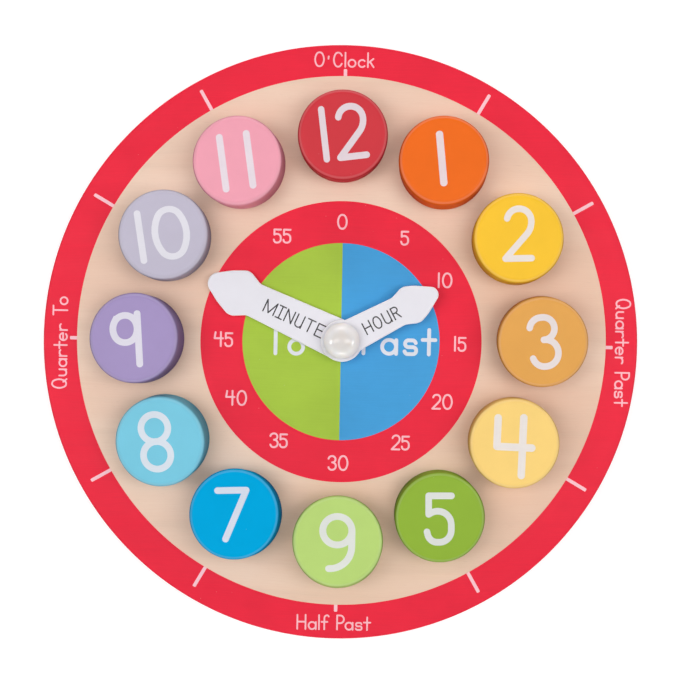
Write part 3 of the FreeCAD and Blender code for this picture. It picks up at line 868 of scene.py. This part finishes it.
def makeRimRing():
    # The outer ring wraps over the rounded edge and covers the side of the board.
    bm = bmesh.new()
    outer = rim + dial["film"]
    inside = outer - dial["rimRound"] - dial["rimMargin"]
    middle = spot(0, 0, 0)
    loops = []
    for radius, place in ((dial["outerRing"], spot(*dial["rimCentre"], 0)),
                          (inside, middle), (outer, middle)):
        verts = bmesh.ops.create_circle(bm, segments=dial["sides"], radius=radius,
                                        matrix=place)["verts"]
        loops.append(list({edge for vert in verts for edge in vert.link_edges}))
    for nearer, further in zip(loops, loops[1:]):
        bmesh.ops.bridge_loops(bm, edges=nearer + further)
    foot = vertsOf(bmesh.ops.extrude_edge_only(bm, edges=loops[-1])["geom"])
    bmesh.ops.translate(bm, verts=foot, vec=upAxis * (dial["rimFoot"] - face - dial["film"]))
    bmesh.ops.bevel(bm, geom=loops[-1], offset=dial["rimRound"], profile=0.5,
                    segments=dial["rimRoundSegments"], affect="EDGES", material=-1)
    bmesh.ops.recalc_face_normals(bm, faces=bm.faces[:])
    if sum(part.normal.z for part in bm.faces) < 0:
        bmesh.ops.reverse_faces(bm, faces=bm.faces[:])
    bmesh.ops.solidify(bm, geom=bm.faces[:], thickness=dial["film"] + dial["sink"])
    for edge in bm.edges:
        edge.smooth = edge.calc_face_angle(math.pi) < math.radians(dial["smooth"])
    for part in bm.faces:
        part.smooth = True
    finishPiece(toObject(bm, "dial_rim_ring"), spot(0, 0, face + dial["film"]), redInk,
                "clock")


def makeRings():
    makeRimRing()
    filmPiece(drawRing(*dial["minuteRing"]), "dial_minute_ring", redInk)
    half = (dial["hole"], dial["minuteRing"][0])
    filmPiece(drawRing(*half, 180), "dial_past_half", blueInk)
    filmPiece(drawRing(*half, -180), "dial_to_half", greenInk)


ticks = {
    "width": 1.65,
    "start": 129.0,
    "quarterEnd": 132.4,   # short ticks beside the words
    "hourEnd": 140.0,
    "rounding": 0.5,
    "roundSegments": 4,
    "slip": (-0.4, -1.1),  # their print lies off the ring's
}


def makeTick(number):
    quarter = number % 3 == 0
    end = ticks["quarterEnd"] if quarter else ticks["hourEnd"]
    bm = bmesh.new()
    long = end - ticks["start"]
    middle = spot(0, ticks["start"] + long / 2, 0)
    bmesh.ops.create_grid(bm, x_segments=1, y_segments=1, size=0.5, matrix=middle)
    scaled = Matrix.Diagonal((ticks["width"], long, 1))
    bmesh.ops.transform(bm, matrix=scaled.to_4x4(), space=middle.inverted(), verts=bm.verts)
    tips = [vert for vert in bm.verts if vert.co.y > ticks["start"] + long / 2]
    bmesh.ops.bevel(bm, geom=tips, offset=ticks["rounding"], profile=0.5,
                    segments=ticks["roundSegments"], affect="VERTICES", material=-1)
    thicken(bm, pen["sink"] + pen["ink"])
    angle = hourStep * number
    aside = (Matrix.Rotation(math.radians(angle), 2) @ Vector(ticks["slip"])).x
    place = onDial("rimCentre", -angle, dial["film"] - pen["sink"]) @ spot(aside, 0, 0)
    finishPiece(toObject(bm, f"tick_{number}"), place, tickInk, "clock")


makeRings()
for number in numbers:
    makeTick(number)
print("dial rings and ticks made")


# Words and numbers on the dial

minuteNumbers = {
    "radius": 58.5,
    "capHeight": 6.8,
    "pen": 0.9,
    "gap": 5,
    # how far each is printed off its exact place
    "nudges": {0: (-0.4, 0), 5: (0.9, 0.4), 10: (-0.4, 1.6), 15: (-0.3, 0), 20: (-0.8, 0.8),
               25: (0.6, 2.0), 30: (-0.4, -0.7), 35: (-0.3, 1.95), 40: (0, 0.9),
               45: (1.1, 0.2), 50: (0, 0.5), 55: (-0.4, 0.3)},
}

dialWords = {
    # text: where it is centred on its base line, how it is turned
    "O'Clock": (-0.6, 134.2, 0),
    "Quarter Past": (134.3, -2.9, -90),
    "Half Past": (-0.7, -140.4, 0),
    "Quarter To": (-133.45, -2.9, 90),
}

middleWords = {
    # text: the left end of its base line
    "To": (-35.95, -6.2),
    "Past": (11.3, -5.4),
}

wordSizes = {
    "capHeight": 6.85,
    "pen": 0.8,
    "middleCapHeight": 13.3,
    "middleCapitals": 1.13,   # how much taller the capitals are drawn
    "middlePen": 1.85,
    "middleGap": 7.4,
}


def pieceName(prefix, text):
    return prefix + text.lower().replace("'", "").replace(" ", "_")


def makeMinuteNumber(minute):
    bm = drawText(str(minute), minuteNumbers["capHeight"], minuteNumbers["pen"],
                  minuteNumbers["gap"])[0]
    centred(bm)
    angle = math.radians(minuteStep * minute)
    x = minuteNumbers["radius"] * math.sin(angle)
    y = minuteNumbers["radius"] * math.cos(angle)
    nudge = minuteNumbers["nudges"][minute]
    place = onDial("middleCentre", lift=dial["film"]) @ spot(x + nudge[0], y + nudge[1], 0)
    inkPiece(bm, f"minute_number_{minute}", place, ringLetterInk, "clock")


def makeDialWords():
    for text, (x, y, turn) in dialWords.items():
        bm, long = drawText(text, wordSizes["capHeight"], wordSizes["pen"])
        place = spot(x, y, face + dial["film"], turn) @ spot(-long / 2, 0, 0)
        inkPiece(bm, pieceName("word_", text), place, ringLetterInk, "clock")
    for text, (x, y) in middleWords.items():
        bm = drawText(text, wordSizes["middleCapHeight"], wordSizes["middlePen"],
                      wordSizes["middleGap"], wordSizes["middleCapitals"])[0]
        place = spot(x, y, face + dial["film"])
        inkPiece(bm, pieceName("middle_word_", text), place, middleLetterInk, "clock")


for minute in range(0, 60, 5):
    makeMinuteNumber(minute)
makeDialWords()
print("dial lettering made")


# Words on the hands

handWords = {
    # start is where the text begins, from the pivot, base the height of its base line, and
    # side how it is turned on the hand
    "minute": {"text": "MINUTE", "start": -40.9, "base": -3.1, "height": 6.1, "side": 180},
    "hour": {"text": "HOUR", "start": 12.4, "base": -3.0, "height": 5.8, "side": 0},
}
handPen = {"width": 0.62, "gap": 7}


def handPlace(name):
    # the pivot on top of the hand, with X along it
    tip = max((vert.co for vert in nodes[name].data.vertices), key=lambda co: co.xy.length)
    along = math.degrees(heading(tip - pivot * metre))
    return spot(pivot.x, pivot.y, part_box(name)[1].z / metre, along)


def makeHandWord(body, word):
    bm = drawText(word["text"], word["height"], handPen["width"], handPen["gap"])[0]
    side = spot(0, 0, 0, word["side"])
    place = handPlace(f"{body}_hand") @ side @ spot(word["start"], word["base"], 0)
    inkPiece(bm, f"{body}_hand_word", place, handLetterInk, body)


for body, word in handWords.items():
    makeHandWord(body, word)
print("hand lettering made")


# Numerals on the blocks

numerals = {
    # block: its numeral's turn, how far it lies off the middle of the face, and its stretch
    1: (6, (-1.1, 0.5), (1.08, 0.98)),
    2: (2, (-0.3, 1.9), (0.94, 0.985)),
    3: (7.5, (0.7, 0.2), (0.96, 0.99)),
    4: (-1.5, (-0.05, -1.2), (1, 1.02)),
    5: (1, (-0.4, -0.6), (0.97, 0.99)),
    6: (180, (-0.2, -1.0), (1.03, 1)),
    7: (2, (-0.8, -0.4), (0.97, 0.975)),
    8: (6, (-1.7, 0.1), (0.99, 1)),
    9: (4.5, (-3.3, -0.95), (1.03, 0.98)),
    10: (9.4, (0.25, 0.2), (1, 0.945)),
    11: (8.6, (-0.2, -0.5), (1.03, 1.03)),
    12: (7.5, (0.6, 1.1), (0.955, 0.985)),
}
numeralPen = {"width": 3.2, "gap": 5, "tallFourWidth": 3.52}
facePick = {"upward": 0.9, "parallel": 0.999999}     # cosines


def facePlane(node):
    # The flat top of a leaning block: the plane of its largest upward triangle
    upward = [part for part in node.data.polygons if part.normal.z > facePick["upward"]]
    top = max(upward, key=lambda part: part.area)
    flat = [part for part in upward if part.normal.dot(top.normal) > facePick["parallel"]]
    whole = sum(part.area for part in flat)
    middle = sum((part.center * part.area for part in flat), Vector()) / whole
    lean = upAxis.rotation_difference(top.normal).to_matrix().to_4x4()
    return Matrix.Translation(middle / metre) @ lean


def makeNumeral(number):
    turn, shift, stretch = numerals[number]
    letters, width = str(number), numeralPen["width"]
    if number == 4:
        letters, width = ["tall 4"], numeralPen["tallFourWidth"]
    bm = drawText(letters, pen["capHeight"], width, numeralPen["gap"])[0]
    centred(bm)
    place = facePlane(nodes[f"number_block_{number}"]) @ spot(*shift, 0, turn)
    place = place @ Matrix.Diagonal((*stretch, 1, 1))
    inkPiece(bm, f"numeral_{number}", place, blockLetterInks[number], f"block_{number}")


for number in numbers:
    makeNumeral(number)
print("numerals made")


# Floor, light and camera

studio = {
    # metres
    "floorSize": 6.0,
    "floorDrop": 0.0004,
    "floorShift": 1.0,            # keeps the seam between its triangles away from the clock
    "floorColour": (0.5, 0.5, 0.5, 1),
    "floorRoughness": 0.9,
    "floorGlow": (0.62, 1.0),     # near the clock, and far off where the lamps don't reach
    "floorGlowSpan": (0.3, 1.2),
    "underGlow": (0.1425, 0.62),  # radius and level of the light that the underside gets
    "underGlowFade": 0.0015,      # how soon it fades at its edge
    "skyLow": 0.05,               # light from the horizon
    "skyHigh": 2.4,               # light from straight overhead
    "skySpread": 10,              # the higher, the narrower the glow overhead
    "lamps": {
        # name: direction anticlockwise from three, elevation, size, distance, power
        "right softbox": (0, 59, (0.4, 0.6), 1.0, 2.65),
        "left softbox": (180, 59, (0.4, 0.6), 1.0, 2.65),
        "top strip": (90, 17, (0.6, 0.2), 1.0, 2.4),
        "front strip": (-90, 17, (0.6, 0.2), 1.0, 2.0),
    },
    "sparkles": {                 # seen only in gloss, as on the cap
        "right sparkle": (-6, 26, (0.35, 0.2), 1.0, 2.0),
        "left sparkle": (186, 26, (0.35, 0.2), 1.0, 2.0),
    },
}


def backdropSeen(tree):
    # 1 where the camera sees the backdrop itself, or in gloss or through something clear
    light = addNode(tree, "LightPath").outputs
    seen = calculate(tree, "ADD", light["Is Camera Ray"], light["Is Glossy Ray"])
    return calculate(tree, "ADD", seen, light["Is Transmission Ray"], True)


def makeFloor():
    bm = bmesh.new()
    bmesh.ops.create_grid(bm, x_segments=1, y_segments=1, size=studio["floorSize"] / 2)
    bmesh.ops.translate(bm, verts=bm.verts, vec=(studio["floorShift"], 0, 0))
    floor = toObject(bm, "floor")
    floor.location.z = -studio["floorDrop"]
    material = bpy.data.materials.new("white floor")
    material.use_nodes = True
    tree = material.node_tree
    shader = tree.nodes["Principled BSDF"]
    away = addNode(tree, "VectorMath", {0: addNode(tree, "TexCoord").outputs["Object"]},
                   operation="LENGTH").outputs["Value"]
    glow = remap(tree, away, *studio["floorGlowSpan"], *studio["floorGlow"])
    glow = calculate(tree, "MULTIPLY", backdropSeen(tree), glow)
    radius, level = studio["underGlow"]
    under = remap(tree, away, radius, radius - studio["underGlowFade"], 0.0, level)
    feed(tree, shader, {"Base Color": studio["floorColour"], "Specular IOR Level": 0.0,
                        "Roughness": studio["floorRoughness"], "Emission Color": (1, 1, 1, 1),
                        "Emission Strength": calculate(tree, "ADD", glow, under)})
    clear = addNode(tree, "BsdfTransparent").outputs[0]
    below = addNode(tree, "NewGeometry").outputs["Backfacing"]
    mixed = addNode(tree, "MixShader", {0: below, 1: shader.outputs[0], 2: clear}).outputs[0]
    tree.links.new(mixed, tree.nodes["Material Output"].inputs["Surface"])
    floor.data.materials.append(material)


def makeWorld():
    world = bpy.data.worlds.new("studio")
    scene.world = world
    world.use_nodes = True
    tree = world.node_tree
    up = addNode(tree, "SeparateXYZ", {0: addNode(tree, "TexCoord").outputs["Generated"]})
    height = remap(tree, up.outputs["Z"], 0.0, 1.0)
    glow = calculate(tree, "POWER", height, studio["skySpread"])
    sky = remap(tree, glow, 0.0, 1.0, studio["skyLow"], studio["skyHigh"])
    level = remap(tree, backdropSeen(tree), 0.0, 1.0, sky, 1.0)
    feed(tree, tree.nodes["Background"], {"Color": (1, 1, 1, 1), "Strength": level})


def makeLamp(name, direction, elevation, size, distance, power):
    data = bpy.data.lights.new(name, "AREA")
    data.shape = "RECTANGLE"
    data.size, data.size_y = size
    data.energy = power
    lamp = bpy.data.objects.new(name, data)
    scene.collection.objects.link(lamp)
    turn = Matrix.Rotation(math.radians(direction), 3, "Z")
    lift = Matrix.Rotation(math.radians(-elevation), 3, "Y")
    away = turn @ lift @ Vector((1, 0, 0))
    lamp.location = away * distance
    lamp.rotation_euler = away.to_track_quat("Z", "Y").to_euler()
    return lamp


cameraView = {
    "foot": (4.74, -3.93),    # it looks straight down on this spot
    "height": 631,            # above the dial's face
    "roll": 1.05,
    "lens": 66.5,
    "sensor": 36,
}


def makeCamera():
    data = bpy.data.cameras.new("camera")
    data.lens = cameraView["lens"]
    data.sensor_width = cameraView["sensor"]
    camera = bpy.data.objects.new("camera", data)
    scene.collection.objects.link(camera)
    x, y = cameraView["foot"]
    height = (face + cameraView["height"]) * metre
    camera.matrix_world = spot(x * metre, y * metre, height, cameraView["roll"])
    scene.camera = camera


makeFloor()
makeWorld()
for name, lamp in studio["lamps"].items():
    makeLamp(name, *lamp)
for name, lamp in studio["sparkles"].items():
    makeLamp(name, *lamp).visible_diffuse = False
makeCamera()
scene.view_settings.view_transform = "Standard"
print("stage made")
